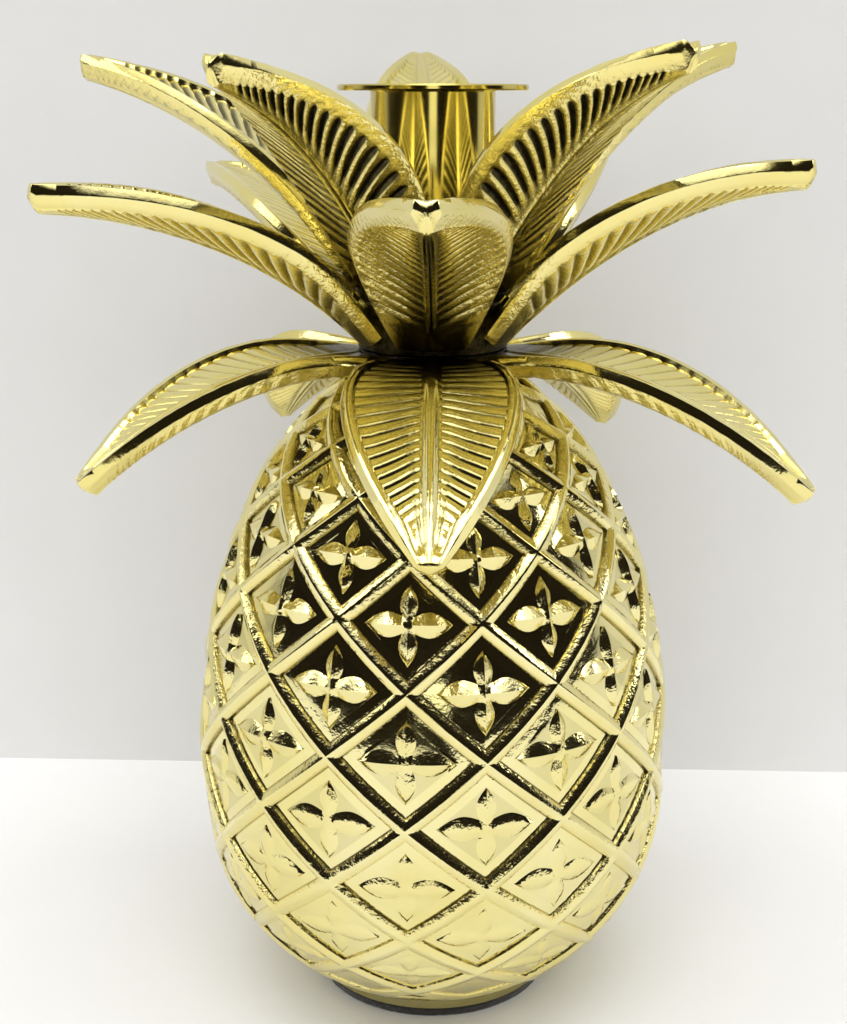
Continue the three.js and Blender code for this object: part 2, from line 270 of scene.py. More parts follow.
def lathe(skin, profile, sides, **values):
    """A turned closed surface from [radius, height] points that start and end on the axis."""
    profile = np.array(profile, float)
    angles = np.linspace(0, 2 * math.pi, sides, endpoint=False)
    radius, height = profile[:, 0][:, None], profile[:, 1][:, None]
    points = np.stack([radius * np.cos(angles), radius * np.sin(angles), height + 0 * angles], -1)
    skin.add(points.reshape(-1, 3), grid_faces(len(profile), sides, closed=True), **values)


def bevelled(corners, width=0.4):
    """Replaces each inner corner of a profile by two points, width along each side."""
    corners = [np.array(c, float) for c in corners]
    out = [corners[0]]
    for before, corner, after in zip(corners, corners[1:], corners[2:]):
        for other in (before, after):
            step = other - corner
            size = np.linalg.norm(step)
            out.append(corner + step / size * min(width, 0.45 * size))
    return out + [corners[-1]]


# Body

def body_radius(z):
    """Radius over the bars at a height: one curve from the belly up and another down."""
    z = np.asarray(z, float)
    up = z > BELLY_HEIGHT
    end = np.where(up, NECK_HEIGHT, LATTICE_BOTTOM)
    end_radius = np.where(up, NECK_RADIUS, FOOT_RADIUS)
    share = np.clip(np.abs((z - BELLY_HEIGHT) / (end - BELLY_HEIGHT)), 0, 1)
    loss = 1 - (end_radius / BODY_RADIUS) ** 2
    return BODY_RADIUS * np.sqrt(1 - loss * share ** np.where(up, UPPER_CURVE, LOWER_CURVE))


def row_heights(steps=2400):
    """Height of a lattice row, from the neck (row 0) down."""
    z = np.linspace(NECK_HEIGHT, LATTICE_BOTTOM, steps + 1)
    middle = (z[1:] + z[:-1]) / 2
    slope = np.hypot(np.diff(z), np.diff(body_radius(z)))
    growth = 1 + ROW_GROWTH * ((middle - LATTICE_BOTTOM) / (NECK_HEIGHT - LATTICE_BOTTOM) - 0.5)
    travelled = np.concatenate([[0], np.cumsum(slope / (body_radius(middle) * growth))])
    rows = travelled / travelled[-1] * CELL_ROWS
    return lambda row: np.interp(row, rows, z)


height_of_row = row_heights()


def lattice_points(column, row, depth):
    """Points of the lattice: half cells around, row from the neck, depth below the bars."""
    z = height_of_row(row)
    delta = 0.05
    high = np.minimum(z + delta, NECK_HEIGHT)
    low = np.maximum(z - delta, LATTICE_BOTTOM)
    slope = (body_radius(high) - body_radius(low)) / (high - low)
    flat = np.hypot(1, slope)
    at_rim = (row < 1e-6) | (row > CELL_ROWS - 1e-6)
    radius = body_radius(z) - np.where(at_rim, depth, depth / flat)
    height = np.where(at_rim, z, z + depth * slope / flat)
    angle = math.radians(LATTICE_TURN) + column * math.pi / CELLS_AROUND
    return np.stack([radius * np.sin(angle), -radius * np.cos(angle), height], -1)


def half_diagonals(row):
    """Half width and half height of the cells centred on a row."""
    row = min(max(row, 1), CELL_ROWS - 1)
    wide = float(body_radius(height_of_row(row))) * math.pi / CELLS_AROUND
    above, below = lattice_points(np.zeros(2), np.array([row - 1.0, row + 1.0]), np.zeros(2))
    return wide, float(np.linalg.norm(above - below)) / 2


def petal_width(s, widest, waist, peak=0.4):
    """Half width of a petal along its length: from the waist to its widest and on to a point."""
    swelling = waist + (widest - waist) * np.sin(math.pi / 2 * np.minimum(s / peak, 1))
    return np.minimum(swelling, widest * (1 - np.maximum((s - peak) / (1 - peak), 0) ** 1.7))


class CellPlan:
    """The flat plan of one diamond cell, |x| + |y| <= 1, with heights over its field."""

    # Steps along a petal, stations across it with their heights, and stations of the field's fill
    along = 10
    cross = np.array([0.0, 0.5, 0.93, 1.0])
    cross_height = np.array([1.0, 0.54, 0.09, 0.0])
    fill = np.array([0, 0.04, 0.24, 0.5, 0.76, 0.96, 1])
    # Half size of the square between the petals, and rings from the star out to the bar's ridge
    waist = (0.09, 0.13)
    rings = np.array([STAR_REACH, 0.67, 0.79, 1.9, 2.0, 2.2, 2.5, 2.75, 3.0])

    def __init__(self):
        self.x, self.y, self.star, self.level = [], [], [], []
        self.faces = []
        self.count = 0
        self.make()
        self.x, self.y = np.concatenate(self.x), np.concatenate(self.y)
        self.star, self.level = np.concatenate(self.star), np.concatenate(self.level)

    def patch(self, x, y, star, level=-1.0):
        """A grid of points. star is the height as a share of the star's, level the ring outside it."""
        rows, columns = x.shape
        self.faces += [tuple(i + self.count for i in face) for face in grid_faces(rows, columns)]
        self.x.append(x.ravel())
        self.y.append(y.ravel())
        self.star.append(np.broadcast_to(star, x.shape).ravel())
        self.level.append(np.broadcast_to(level, x.shape).ravel())
        self.count += x.size

    def make(self):
        wx, wy = self.waist
        s = np.linspace(0, 1, self.along + 1) ** 1.05
        t = np.concatenate([-self.cross[:0:-1], self.cross])
        rise = np.concatenate([self.cross_height[:0:-1], self.cross_height])
        crest = 0.92 + 0.08 * smooth_step(s / 0.45) - 0.62 * s ** 3.5
        wide = petal_width(s, WIDE_PETAL, wy)
        narrow = petal_width(s, NARROW_PETAL, wx)
        far_x = wx + s * (STAR_REACH - wx)
        far_y = wy + s * (STAR_REACH - wy)
        centre_rise = crest[0] * np.maximum(rise[:, None], rise[None, :])
        self.patch(np.tile(t * wx, (len(t), 1)), np.tile((t * wy)[:, None], (1, len(t))), centre_rise)
        for sign in (1, -1):
            x, y = sign * far_x[:, None] + 0 * t, wide[:, None] * t[None, :] * sign
            self.patch(x.T, y.T, (crest[:, None] * rise).T)
            x, y = -narrow[:, None] * t[None, :] * sign, sign * far_y[:, None] + 0 * t
            self.patch(x.T, y.T, (crest[:, None] * rise).T)
        m = self.fill
        for sx, sy in ((1, 1), (-1, 1), (-1, -1), (1, -1)):
            x = sx * (far_x[:, None] * (1 - m) + narrow[:, None] * m)
            y = sy * (wide[:, None] * (1 - m) + far_y[:, None] * m)
            turn = sx * sy < 0
            self.patch(x[:, ::-1] if turn else x, y[:, ::-1] if turn else y, 0.0)
            share = np.where(self.rings < 1, self.rings, 1.0)
            x = sx * share[:, None] * (1 - m)
            y = sy * share[:, None] * m
            level = self.rings[:, None] + 0 * m
            if turn:
                x, y = x[:, ::-1], y[:, ::-1]
            self.patch(x, y, 0.0, level)


# Outer rings of a cell, each with its share of the bar's half width, its depth as a share of
# the bar's height, its darkening (patina and painted shade, most at the bar's foot) and its grit
BAR_RINGS = {
    1.9: (1.1, 1.0, 0.1, 0.4),
    2.0: (1.0, 1.0, 0.36, 0.7),
    2.2: (0.9, 0.55, 0.15, 1.0),
    2.5: (0.55, 0.26, 0.0, 0.5),
    2.75: (0.12, 0.03, 0.0, 0.2),
    3.0: (0.0, 0.0, 0.0, 0.1),
}


def cell(skin, plan, column, row):
    """One diamond of the lattice, from the ridges of its bars in to its star."""
    wide, tall = half_diagonals(row)
    share = min(0.5 * BAR_WIDTH / (wide * tall / math.hypot(wide, tall)), 0.5)
    x, y = plan.x.copy(), plan.y.copy()
    row_darkening = float(np.interp(row, DARKENING_ROWS, ROW_DARKENING))
    low_bars = float(np.interp(row, BAR_ROWS, BAR_SHARES))
    depth = np.full(x.shape, BAR_HEIGHT * low_bars)
    if FIRST_STAR_ROW <= row <= LAST_STAR_ROW:
        depth -= STAR_HEIGHT * float(np.interp(row, STAR_ROWS, STAR_SHARES)) * plan.star
    # The field and the bars' feet are darkened: patina and painted shade in the hollows, less of it in the
    # lower rows
    cavity = np.where((plan.star < 0.05) & (plan.level < 0), FIELD_DARKENING * row_darkening, 0.0)
    cast = np.where(plan.star > 0.05, STAR_GRIT, FIELD_GRIT)
    for level, (across, low, darkness, grit) in BAR_RINGS.items():
        on = np.abs(plan.level - level) < 1e-6
        x[on] *= 1 - share * across
        y[on] *= 1 - share * across
        depth[on] = BAR_HEIGHT * low_bars * low
        cavity[on] = darkness * row_darkening
        cast[on] = grit
    inner = (plan.level > 0) & (plan.level < 1)
    squeeze = np.minimum(1.0, (1 - share * 1.15) / 0.8)
    x[inner] *= squeeze
    y[inner] *= squeeze
    rows = np.clip(row + y, 0, CELL_ROWS)
    points = lattice_points(column + x, rows, depth)
    edge = np.clip((1 - np.abs(x) - np.abs(y)) / 0.05, 0, 1)
    wobble = np.abs(ripple(points, BODY_WAVE, 5) + ripple(points, BODY_PITS, 6) * cast)
    share_here = np.where(plan.star > 0.05, STAR_WAVE_SHARE, 1.0)
    sunk = depth + share_here * wobble * np.where(depth < 0.1, edge, 1.0)
    points = lattice_points(column + x, rows, sunk)
    faces = plan.faces
    if row in (0, CELL_ROWS):
        keep = y >= -1e-9 if row == 0 else y <= 1e-9
        faces = [f for f in faces if all(keep[i] for i in f)]
    skin.add(points, faces, cavity=cavity, cast=cast)


def make_body(material):
    skin = Skin()
    plan = CellPlan()
    for row in range(CELL_ROWS + 1):
        for column in range(2 * CELLS_AROUND):
            if (column + row) % 2:
                cell(skin, plan, column, row)
    foot_top = LATTICE_BOTTOM + 0.4
    foot = [(0, BODY_BOTTOM), (FOOT_RADIUS, BODY_BOTTOM), (FOOT_RADIUS, foot_top), (0, foot_top)]
    # The foot is darkened a little: patina and painted shade low on the body
    lathe(skin, bevelled(foot, 0.35), 96, cavity=0.3, cast=0.5)
    top = NECK_HEIGHT - 0.02
    plug = NECK_RADIUS - 2.2
    lathe(skin, [(0, top - 2), (plug, top - 2), (plug, top), (0, top)], 64, cast=0.5)
    return skin.build("pineapple_body", material, sharp=38)


# Leaves

def leaf_half_width(share, width):
    """Half width of a leaf's outline at a share of its length."""
    half, neck, tip = width / 2, LEAF_NECK_WIDTH / 2, LEAF_TIP_WIDTH / 2
    opened = np.sin(math.pi / 2 * np.minimum(share / LEAF_PEAK, 1))
    closed = np.maximum((share - LEAF_PEAK) / (1 - LEAF_PEAK), 0) ** LEAF_POINT
    return np.minimum(neck + (half - neck) * opened, half - (half - tip) * closed)


class LeafCurve:
    """The line along the middle of a leaf's top face, in the plane of its azimuth."""

    def __init__(self, ring, reach, rise, hub_bottom):
        slope = math.radians(ring["root_slope"])
        end_slope = math.radians(ring["tip_slope"])
        root = np.array([ring["root"], hub_bottom + ring["raise"] + ring["thickness"] * math.cos(slope)])
        tip = np.array([reach, hub_bottom + rise])
        handle = HANDLE_SHARE * np.linalg.norm(tip - root)
        first = root + handle * np.array([math.cos(slope), math.sin(slope)])
        second = tip - handle * np.array([math.cos(end_slope), math.sin(end_slope)])
        u = np.linspace(0, 1, 600)[:, None]
        start, end = (1 - u) ** 3 * root, u ** 3 * tip
        self.points = start + 3 * (1 - u) ** 2 * u * first + 3 * (1 - u) * u ** 2 * second + end
        steps = np.linalg.norm(np.diff(self.points, axis=0), axis=1)
        travelled = np.concatenate([[0], np.cumsum(steps)])
        self.length = travelled[-1]
        self.share = travelled / self.length
        self.slopes = np.gradient(self.points, axis=0)
        self.slopes /= np.linalg.norm(self.slopes, axis=1)[:, None]

    def at(self, share):
        pick = lambda values, i: np.interp(share, self.share, values[:, i])
        centre = (pick(self.points, 0), pick(self.points, 1))
        return centre, (pick(self.slopes, 0), pick(self.slopes, 1))


def rib_wave(phase, valley):
    """1 over a rounded rib and 0 in the groove between two ribs, wider with a larger valley."""
    return np.abs(np.sin(math.pi * phase)) ** valley


def leaf(skin, ring, azimuth, reach, rise, hub_bottom, seed):
    """One leaf. Its section is a closed loop of stations, the same in every row.

    Each station has its side and height from the top of the midrib, its painted shade and its grit, and how
    far its row sweeps towards the tip.
    """
    curve = LeafCurve(ring, reach, rise, hub_bottom)
    thickness, edge, width = ring["thickness"], ring["edge"], ring["width"]
    rows = RIBS * ROWS_PER_RIB + 1
    f = np.linspace(0, 1, rows)
    room = np.sin(math.pi * f)
    half = leaf_half_width(np.clip(f + TOP_SWEEP / curve.length * room, 0, 1), width)
    under_half = leaf_half_width(np.clip(f + UNDER_SWEEP / curve.length * room, 0, 1), width)
    squeeze = np.minimum(1.0, half / FULL_SECTION)
    rooted = smooth_step((f - ROOT_START) / ROOT_FADE)
    swell = rooted * smooth_step((RELIEF_END - f) / RELIEF_FADE)
    ribbed = rooted * smooth_step((ring["rib_end"] - f) / ring["rib_fade"])
    top_rib = 1 - ribbed * (1 - rib_wave(f * RIBS, ring["valley"]))
    under_rib = 1 - ribbed * (1 - rib_wave(f * RIBS, UNDER_VALLEY))
    # Painted shade: in the grooves between the ribs, stronger on leaves that face the front, and along the
    # root by the hub
    facing = BACK_GROOVE_SHADE + (1 - BACK_GROOVE_SHADE) * (0.5 + 0.5 * math.cos(math.radians(azimuth)))
    top_groove_shade = facing * ring["top_groove_shade"] * smooth_step((0.5 + 0.4 * ring["valley"] - top_rib) / 0.4)
    under_groove_shade = facing * ring["under_groove_shade"] * smooth_step((1 - under_rib) / 0.6)
    relief = ring["relief"] * (BACK_RELIEF + (1 - BACK_RELIEF) * facing)
    root_shade = ROOT_SHADE * smooth_step((ROOT_SHADE_END - f) / 0.3)
    lines = []

    def line(side, height, darkness=0.0, grit=0.2, sweep=TOP_SWEEP):
        values = (side, height, darkness, grit, sweep)
        lines.append([np.broadcast_to(np.asarray(v, float), f.shape) for v in values])

    # Top face, from the midrib out to the border, with painted shade at the root, in the midrib's groove,
    # between the ribs and along the border's inner step
    line(0, -0.05, root_shade)
    for side, depth, darkness in MIDRIB:
        sunk = swell if darkness else 1.0
        line(side * squeeze, -depth * sunk * squeeze, np.maximum(root_shade, darkness * swell))
    start, end = FIELD_START * squeeze, half - (BORDER_WIDTH + 0.1) * squeeze
    for share, ease in TOP_STATIONS:
        field = -FIELD_DEPTH * (1 - relief * top_rib * ease) * squeeze
        line(start + (end - start) * share, swell * field, np.maximum(root_shade, top_groove_shade * ease))
    line(half - (BORDER_WIDTH - 0.35) * squeeze, -0.1, 0.1)
    line(half - 1.9 * squeeze, 0.0)
    line(half - 1.15 * squeeze, -0.08)

    # Edge, convex, sloping in below its middle, with a thin painted shadow where it meets the underside
    bulge = ring["bulge"]
    line(half - 0.85 * squeeze, -0.28, 0, 0.15)
    line(half - 0.1 * squeeze, -0.85 * bulge * edge, 0, 0.15)
    line(half, -bulge * edge, 0, 0.4)
    low = 0.5 * (half + under_half) - 0.2 * EDGE_DRAFT
    line(low, -(0.8 * bulge + 0.2) * edge, 0, 0.4, 0.5 * (TOP_SWEEP + UNDER_SWEEP))
    line(under_half - EDGE_DRAFT + 0.1, -edge + 0.25, 0.1, 1.0, UNDER_SWEEP)

    # Underside, from the edge in to the groove along the midrib, with painted shade between the ribs, at
    # the root and in that groove
    squeeze = np.minimum(1.0, under_half / FULL_SECTION)
    start = UNDER_FIELD_START * squeeze
    for share, ease in UNDER_STATIONS:
        side = start + (under_half - EDGE_DRAFT - start) * share
        level = -thickness + (thickness - edge) * (side / under_half) ** 1.5
        groove = UNDER_RIB_DEPTH * swell * ease * (1 - under_rib) * squeeze
        line(side, level + groove, np.maximum(0.3 * root_shade, under_groove_shade * ease), 0.8, UNDER_SWEEP)
    line(1.7 * squeeze, -thickness + 0.4 * squeeze * swell, 0.3 * swell, 0.6, UNDER_SWEEP)
    line(1.05 * squeeze, -thickness, 0, 0.4, UNDER_SWEEP)
    line(0.5 * squeeze, -thickness + 0.1, 0.1, 0.4, UNDER_SWEEP)
    line(0, -thickness + 0.6 * squeeze * swell, 0.6 * swell, 0.6, UNDER_SWEEP)

    # The other half of the section, and the rounded tip
    side, height, darkness, grit, sweep = (np.stack([l[i] for l in lines], axis=1) for i in range(5))
    mirrored = lambda values, sign=1: np.concatenate([values, sign * values[:, -2:0:-1]], axis=1)
    across, height = mirrored(side, -1), mirrored(height)
    darkness, grit, sweep = mirrored(darkness), mirrored(grit), mirrored(sweep)
    height = height * (1 - 0.4 * smooth_step((f - 0.96) / 0.04))[:, None]
    rounding = np.sqrt(1 - 0.93 * np.clip((f - TIP_START) / (1 - TIP_START), 0, 1) ** 2)[:, None]
    across = across * rounding
    height = -0.5 * edge + (height + 0.5 * edge) * rounding

    # Along the leaf's line, folded up at the sides, with slight waves in the metal
    outer = np.where(sweep > TOP_SWEEP + 0.01, under_half[:, None], half[:, None])
    q = np.clip(np.abs(across) / np.maximum(outer, 1e-6), 0, 1)
    share = np.clip(f[:, None] + sweep / curve.length * (1 - (1 - q) ** SWEEP_CURVE) * room[:, None], 0, 1)
    (rho, z), (run, climb) = curve.at(share)
    opened = np.sin(math.pi / 2 * np.minimum(share / FOLD_START, 1))
    lift = LEAF_FOLD * opened * (np.abs(across) / (width / 2)) ** FOLD_CURVE + height
    flat = np.stack([rho - climb * lift, across, z + run * lift], -1).reshape(-1, 3)
    normal = np.stack([-climb, 0 * climb, run], -1).reshape(-1, 3)
    bump = ripple(flat, LEAF_WAVE, seed) + ripple(flat, LEAF_PITS, seed + 1) * grit.reshape(-1)
    inward = np.where(height.reshape(-1) < -0.3 * edge, 1.0, -1.0)
    fade = np.broadcast_to(smooth_step((0.98 - f) / 0.04)[:, None], across.shape).reshape(-1)
    flat = flat + normal * (np.abs(bump) * fade * inward)[:, None]
    turn = math.radians(azimuth - 90)
    c, s = math.cos(turn), math.sin(turn)
    points = np.stack([flat[:, 0] * c - flat[:, 1] * s, flat[:, 0] * s + flat[:, 1] * c, flat[:, 2]], -1)
    columns = across.shape[1]
    faces = grid_faces(rows, columns, closed=True, flip=True)
    faces.append(tuple(range(columns)))
    faces.append(tuple((rows - 1) * columns + j for j in reversed(range(columns))))
    skin.add(points, faces, cavity=darkness.ravel(), cast=grit.ravel())


def make_ring(name, ring, hub, material, seed):
    skin = Skin()
    bottom, top = hub
    hub_profile = bevelled([(0, bottom), (HUB_RADIUS, bottom), (HUB_RADIUS, top), (0, top)])
    # The hub is dark all over: painted shade in the gap between the rings of leaves
    lathe(skin, hub_profile, 96, cavity=1.0, cast=1.0)
    for i, (azimuth, reach_share, rise_share) in enumerate(ring["leaves"]):
        reach, rise = ring["reach"] * reach_share, ring["rise"] * rise_share
        leaf(skin, ring, azimuth, reach, rise, bottom, seed + 10 * i)
    return skin.build(name, material, sharp=34)


def make_cup(material):
    skin = Skin()
    radius = CANDLE_BORE_RADIUS + CUP_WALL
    bore_bottom = CUP_RIM - CUP_DEPTH
    cup_bottom = bore_bottom - CUP_FLOOR
    stem_top = cup_bottom - (radius - STEM_RADIUS) / 2
    flange_bottom = CUP_RIM - FLANGE_THICKNESS
    corners = [
        (0, STEM_BOTTOM), (STEM_RADIUS, STEM_BOTTOM), (STEM_RADIUS, stem_top), (radius, cup_bottom),
        (radius, flange_bottom), (FLANGE_RADIUS, flange_bottom), (FLANGE_RADIUS, CUP_RIM),
        (CANDLE_BORE_RADIUS, CUP_RIM), (CANDLE_BORE_RADIUS, bore_bottom), (0, bore_bottom),
    ]
    lathe(skin, bevelled(corners, 0.3), 160)
    return skin.build("candle_cup_turned", material, sharp=30)


def make_pad(material):
    skin = Skin()
    sides, rows = 220, 9
    z = np.linspace(0, PAD_TOP, rows)
    rounding = np.sqrt(np.clip(1 - (2 * z / PAD_TOP - 1) ** 6, 0, 1))
    radius = PAD_RADIUS - 0.5 + 0.4 * rounding
    lathe(skin, [(0, 0)] + list(zip(radius, z)) + [(0, PAD_TOP)], sides)
    points = skin.points[0]
    outward = np.hypot(points[:, 0], points[:, 1])
    fuzz = ripple(points, FELT_FUZZ, 31)
    scale = np.where(outward > 1, 1 - np.abs(fuzz) / np.maximum(outward, 1), 1.0)
    points[:, 0] *= scale
    points[:, 1] *= scale
    return skin.build("felt_pad", material, sharp=60)


# Materials. Noise scales are per metre and bump depths are metres

BODY_LIGHT = (0.85, 0.775, 0.40, 1)
BODY_WARM = (0.80, 0.71, 0.30, 1)
LEAF_LIGHT = (0.85, 0.765, 0.35, 1)
LEAF_WARM = (0.80, 0.69, 0.23, 1)
CUP_LIGHT = (0.64, 0.53, 0.15, 1)
CUP_WARM = (0.54, 0.43, 0.10, 1)
AGED = (0.84, 0.71, 0.26, 1)
# Near-black brown that the darkening mixes in: patina and painted shade
TARNISH_AND_SHADE = (0.022, 0.016, 0.007, 1)
FELT_DARK = (0.006, 0.006, 0.006, 1)
FELT_LIGHT = (0.045, 0.04, 0.036, 1)
CLOUD_SCALE = 38.0
SPECK_SCALE = 620.0
WAVE_SCALE = 260.0
FIBRE_SCALE = 1400.0
SPECK_DEPTH = 0.0004
WAVE_DEPTH = 0.00025
FIBRE_DEPTH = 0.0006
GRIT_ROUGHNESS = 0.16
DARKENED_ROUGHNESS = 0.2


class Nodes:
    """A short way to write a material's nodes."""

    def __init__(self, name):
        self.material = bpy.data.materials.new(name)
        self.material.use_nodes = True
        self.tree = self.material.node_tree
        self.shader = self.tree.nodes["Principled BSDF"]

    def add(self, kind, inputs=None, **settings):
        node = self.tree.nodes.new(kind)
        for key, value in settings.items():
            setattr(node, key, value)
        for key, value in (inputs or {}).items():
            self.put(node.inputs[key], value)
        return node

    def put(self, socket, value):
        if isinstance(value, bpy.types.NodeSocket):
            self.tree.links.new(value, socket)
        else:
            socket.default_value = value

    def noise(self, scale, detail=3.0, rough=0.55):
        place = self.add("ShaderNodeTexCoord").outputs["Object"]
        inputs = {"Vector": place, "Scale": scale, "Detail": detail, "Roughness": rough}
        return self.add("ShaderNodeTexNoise", inputs).outputs["Fac"]

    def ramp(self, value, low, high, out_low=0.0, out_high=1.0):
        inputs = {"Value": value, "From Min": low, "From Max": high, "To Min": out_low, "To Max": out_high}
        return self.add("ShaderNodeMapRange", inputs).outputs["Result"]

    def math(self, operation, a, b):
        return self.add("ShaderNodeMath", {0: a, 1: b}, operation=operation).outputs["Value"]

    def mix(self, factor, a, b):
        node = self.add("ShaderNodeMix", data_type="RGBA")
        self.put(node.inputs["Factor"], factor)
        self.put(node.inputs["A"], a)
        self.put(node.inputs["B"], b)
        return node.outputs["Result"]

    def value(self, name):
        return self.add("ShaderNodeAttribute", attribute_name=name).outputs["Fac"]

    def bump(self, height, strength, distance, below=None):
        node = self.add("ShaderNodeBump", {"Height": height, "Strength": strength, "Distance": distance})
        if below is not None:
            self.put(node.inputs["Normal"], below)
        return node.outputs["Normal"]


def brass(name, light, warm, cast_bump, polish, waviness):
    """Polished cast brass: cloudy in tone, dull and specked where cast is high, and dark where the
    darkening is marked, which is patina and painted shade.

    polish is the roughness of the smooth metal.
    """
    n = Nodes(name)
    cavity, cast = n.value("cavity"), n.value("cast")
    cloud = n.noise(CLOUD_SCALE, 2.0)
    speck = n.noise(SPECK_SCALE, 2.0, rough=0.7)
    tone = n.mix(n.ramp(cloud, 0.35, 0.65), light, warm)
    aged = n.math("MULTIPLY", n.ramp(cast, 0.3, 0.9), n.ramp(speck, 0.35, 0.6, 1.0, 0.35))
    dulled = n.mix(aged, tone, AGED)
    # Darkening towards the near-black brown, marked per point: patina and painted shade
    dark = n.math("MULTIPLY", n.ramp(cavity, 0.05, 0.5), n.ramp(speck, 0.25, 0.7, 0.9, 1.0))
    n.put(n.shader.inputs["Base Color"], n.mix(dark, dulled, TARNISH_AND_SHADE))
    n.shader.inputs["Metallic"].default_value = 1.0
    smooth = n.ramp(cloud, 0.3, 0.7, polish * 0.7, polish * 1.4)
    rough = n.math("ADD", smooth, n.math("MULTIPLY", cast, GRIT_ROUGHNESS))
    n.put(n.shader.inputs["Roughness"], n.math("ADD", rough, n.math("MULTIPLY", cavity, DARKENED_ROUGHNESS)))
    waves = n.bump(n.noise(WAVE_SCALE, 0.0), waviness, WAVE_DEPTH)
    n.put(n.shader.inputs["Normal"], n.bump(speck, n.math("MULTIPLY", cast, cast_bump), SPECK_DEPTH, waves))
    return n.material


def felt():
    n = Nodes("black_felt")
    fibre = n.noise(FIBRE_SCALE, 5.0, rough=0.7)
    n.put(n.shader.inputs["Base Color"], n.mix(fibre, FELT_DARK, FELT_LIGHT))
    n.put(n.shader.inputs["Roughness"], n.ramp(fibre, 0.2, 0.8, 0.8, 1.0))
    n.shader.inputs["Sheen Weight"].default_value = 0.35
    n.shader.inputs["Sheen Roughness"].default_value = 0.5
    n.put(n.shader.inputs["Normal"], n.bump(fibre, 0.8, FIBRE_DEPTH))
    return n.material


def stage_material(name, color, roughness, scale, one_sided=False):
    """A matt pale surface. A one-sided one is clear from behind, so that it hides no view."""
    n = Nodes(name)
    tint = n.noise(scale, 3.0)
    darker = tuple(c * 0.97 for c in color[:3]) + (1,)
    n.put(n.shader.inputs["Base Color"], n.mix(tint, color, darker))
    n.shader.inputs["Roughness"].default_value = roughness
    n.shader.inputs["Specular IOR Level"].default_value = 0.2
    if one_sided:
        clear = n.add("ShaderNodeBsdfTransparent").outputs["BSDF"]
        back = n.add("ShaderNodeNewGeometry").outputs["Backfacing"]
        mixer = n.add("ShaderNodeMixShader")
        n.put(mixer.inputs[0], back)
        n.put(mixer.inputs[1], n.shader.outputs["BSDF"])
        n.put(mixer.inputs[2], clear)
        output = n.tree.nodes["Material Output"]
        n.put(output.inputs["Surface"], mixer.outputs[0])
    return n.material


# Stage, light and camera, in metres

WALL_DISTANCE = 0.117
WALL_TURN = 2.4
WALL_HEIGHT = 2.2
STAGE_HALF = 3.0
FLOOR_FRONT = -0.45
FLOOR_COLOR = (0.86, 0.86, 0.86, 1)
WALL_COLOR = (0.76, 0.76, 0.76, 1)

# The room that the brass mirrors. Edges are parts of a direction of length one: each pair is
# where a zone starts and where it is full
ROOM_COLOR = (0.75, 0.75, 0.75, 1)
CEILING_COLOR = (2.0, 1.98, 1.94, 1)
DARK_COLOR = (0.016, 0.013, 0.01, 1)
PATCH_COLOR = (1.6, 1.6, 1.5, 1)
SEEN_COLOR = (0.74, 0.74, 0.72, 1)
FRONT_EDGE = (0.1, -0.05)
CEILING_EDGE = (0.65, 0.95)
DARK_LOW_EDGE = (-0.24, -0.2)
DARK_HIGH_EDGE = (0.8, 0.64)
PATCH_LEFT_EDGE = (-0.14, -0.09)
PATCH_RIGHT_EDGE = (0.14, 0.09)
PATCH_LOW_EDGE = (-0.07, -0.04)
PATCH_HIGH_EDGE = (0.08, 0.05)


def plane(name, corners, material):
    mesh = bpy.data.meshes.new(name)
    mesh.from_pydata(corners, [], [(0, 1, 2, 3)])
    piece = bpy.data.objects.new(name, mesh)
    bpy.context.scene.collection.objects.link(piece)
    piece.data.materials.append(material)
    return piece


def make_stage():
    h = STAGE_HALF
    floor = stage_material("pale_floor", FLOOR_COLOR, 0.6, 30.0)
    wall = stage_material("pale_wall", WALL_COLOR, 0.8, 60.0, one_sided=True)
    plane("floor", [(-h, FLOOR_FRONT, 0), (h, FLOOR_FRONT, 0), (h, h, 0), (-h, h, 0)], floor)
    lean = math.tan(math.radians(WALL_TURN))
    left, right = WALL_DISTANCE + h * lean, WALL_DISTANCE - h * lean
    plane("wall", [(h, right, 0), (h, right, WALL_HEIGHT), (-h, left, WALL_HEIGHT), (-h, left, 0)], wall)


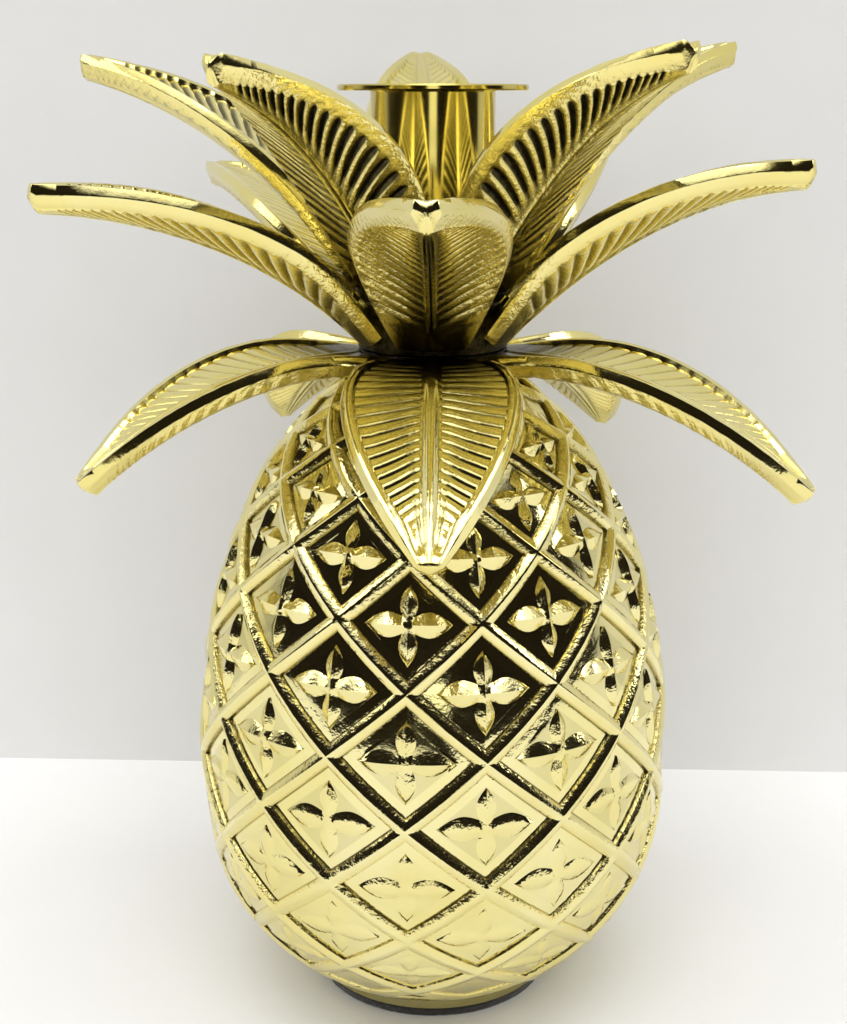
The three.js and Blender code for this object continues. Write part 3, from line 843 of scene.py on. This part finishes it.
def make_world():
    """Soft studio light: a pale room, dark in front from just below eye level up to the ceiling."""
    world = bpy.data.worlds.new("studio")
    world.use_nodes = True
    bpy.context.scene.world = world
    tree = world.node_tree
    tree.nodes.clear()

    def node(kind, **settings):
        made = tree.nodes.new(kind)
        for key, value in settings.items():
            setattr(made, key, value)
        return made

    def join(a, b):
        tree.links.new(a, b)

    def step(value, edge):
        made = node("ShaderNodeMapRange", interpolation_type="SMOOTHSTEP")
        join(value, made.inputs["Value"])
        made.inputs["From Min"].default_value, made.inputs["From Max"].default_value = edge
        return made.outputs["Result"]

    def times(a, b):
        made = node("ShaderNodeMath", operation="MULTIPLY")
        join(a, made.inputs[0])
        join(b, made.inputs[1])
        return made.outputs["Value"]

    place = node("ShaderNodeTexCoord")
    parts = node("ShaderNodeSeparateXYZ")
    join(place.outputs["Generated"], parts.inputs[0])
    east, north, height = parts.outputs["X"], parts.outputs["Y"], parts.outputs["Z"]

    def blend(factor, a, b):
        made = node("ShaderNodeMix", data_type="RGBA")
        join(factor, made.inputs["Factor"])
        for key, value in (("A", a), ("B", b)):
            if isinstance(value, tuple):
                made.inputs[key].default_value = value
            else:
                join(value, made.inputs[key])
        return made.outputs["Result"]

    front = step(north, FRONT_EDGE)
    dark = times(times(front, step(height, DARK_LOW_EDGE)), step(height, DARK_HIGH_EDGE))
    narrow = times(step(east, PATCH_LEFT_EDGE), step(east, PATCH_RIGHT_EDGE))
    level = times(step(height, PATCH_LOW_EDGE), step(height, PATCH_HIGH_EDGE))
    room = blend(step(height, CEILING_EDGE), ROOM_COLOR, CEILING_COLOR)
    shaded = blend(dark, room, DARK_COLOR)
    lit = blend(times(times(narrow, front), level), shaded, PATCH_COLOR)
    lit = blend(node("ShaderNodeLightPath").outputs["Is Camera Ray"], lit, SEEN_COLOR)
    background = node("ShaderNodeBackground")
    join(lit, background.inputs["Color"])
    background.inputs["Strength"].default_value = 1.0
    output = node("ShaderNodeOutputWorld")
    join(background.outputs["Background"], output.inputs["Surface"])


def area_light(name, place, target, size, power):
    data = bpy.data.lights.new(name, "AREA")
    data.shape = "RECTANGLE"
    data.size, data.size_y = size
    data.energy = power
    lamp = bpy.data.objects.new(name, data)
    lamp.location = place
    lamp.rotation_euler = (Vector(target) - Vector(place)).to_track_quat("-Z", "Y").to_euler()
    bpy.context.scene.collection.objects.link(lamp)
    return lamp


def make_lights():
    low, middle = (0, 0, 0.1), (0, 0, 0.12)
    area_light("ceiling_panel", (0, -0.35, 1.5), low, size=(1.0, 0.7), power=5)
    area_light("left_window", (-1.1, -0.06, 0.9), middle, size=(0.5, 0.6), power=2)
    area_light("right_window", (1.2, -0.04, 0.8), middle, size=(0.4, 0.5), power=2.5)
    fill = area_light("room_fill", (0, -1.9, 0.9), low, size=(3.0, 1.6), power=28)
    fill.visible_glossy = False


def make_camera():
    data = bpy.data.cameras.new("camera")
    data.sensor_width = SENSOR
    data.lens = FOCAL_PIXELS * SENSOR / IMAGE_HEIGHT
    data.shift_x = -AXIS_SHIFT_PIXELS / IMAGE_HEIGHT
    data.clip_start = 0.01
    data.clip_end = 50
    camera = bpy.data.objects.new("camera", data)
    camera.location = (0, -CAMERA_DISTANCE * MM, CAMERA_HEIGHT * MM)
    camera.rotation_euler = (math.radians(90 - CAMERA_PITCH), 0, 0)
    bpy.context.scene.collection.objects.link(camera)
    bpy.context.scene.camera = camera


def place_piece(piece, node):
    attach(piece, "root")
    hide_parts(node)


bpy.context.scene.view_settings.view_transform = "Standard"
make_camera()
make_stage()
make_world()
make_lights()

body_brass = brass("body_brass", BODY_LIGHT, BODY_WARM, cast_bump=0.9, polish=0.06, waviness=0.1)
leaf_brass = brass("leaf_brass", LEAF_LIGHT, LEAF_WARM, cast_bump=0.65, polish=0.08, waviness=0.15)
cup_brass = brass("cup_brass", CUP_LIGHT, CUP_WARM, cast_bump=0.2, polish=0.13, waviness=0.05)

place_piece(make_pad(felt()), "base_pad")
place_piece(make_body(body_brass), "body")
for layer, ring, hub, seed in (
    ("lower", LOWER_RING, LOWER_HUB, 100),
    ("middle", MIDDLE_RING, MIDDLE_HUB, 200),
    ("upper", UPPER_RING, UPPER_HUB, 300),
):
    piece = make_ring(layer + "_leaf_ring", ring, hub, leaf_brass, seed)
    place_piece(piece, layer + "_leaves")
place_piece(make_cup(cup_brass), "candle_cup")

bpy.context.view_layer.update()
